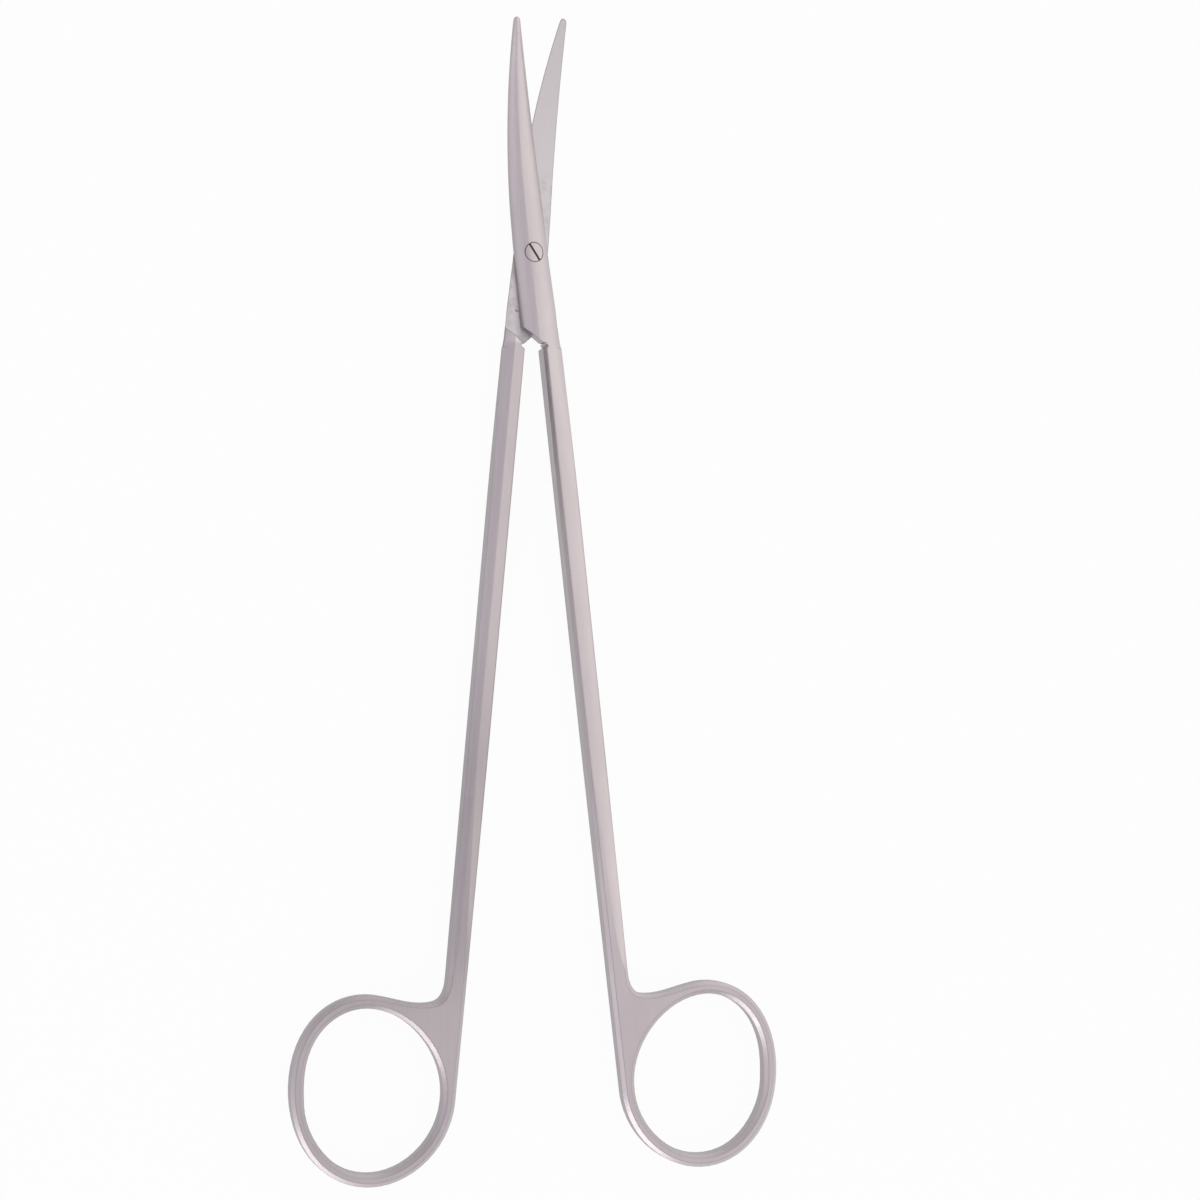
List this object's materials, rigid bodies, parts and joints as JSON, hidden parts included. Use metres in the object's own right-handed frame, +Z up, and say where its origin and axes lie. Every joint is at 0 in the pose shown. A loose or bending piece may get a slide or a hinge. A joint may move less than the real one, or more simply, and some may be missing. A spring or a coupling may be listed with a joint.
{
  "type": "vascular scissors",
  "caption": "Long slim surgical scissors with upward-curved fine blades, a screw joint and two oval finger rings, lying slightly open.",
  "frame": {"origin": "on the pivot screw's axis, at the underside of the joint, which is the level of the surface the scissors lie on", "axes": "+Y to the blade tips along the middle between the halves, +X to the side of the upper half's finger ring, +Z up along the screw's axis, the way the blades curve"},
  "size_m": [0.0778, 0.1779, 0.0092],
  "materials": {
    "satin_steel": "satin",
    "screw_steel": "satin"
  },
  "bodies": {
    "lower": {"lower_half": "satin_steel", "pivot_screw": "screw_steel"},
    "upper": {"upper_half": "satin_steel"}
  },
  "joints": [
    {"name": "pivot", "type": "hinge", "parent": "lower", "child": "upper", "pos_m": [0, 0, 0.0023], "axis": [0, 0, 1], "range_deg": [-10.8, 79.2]}
  ]
}
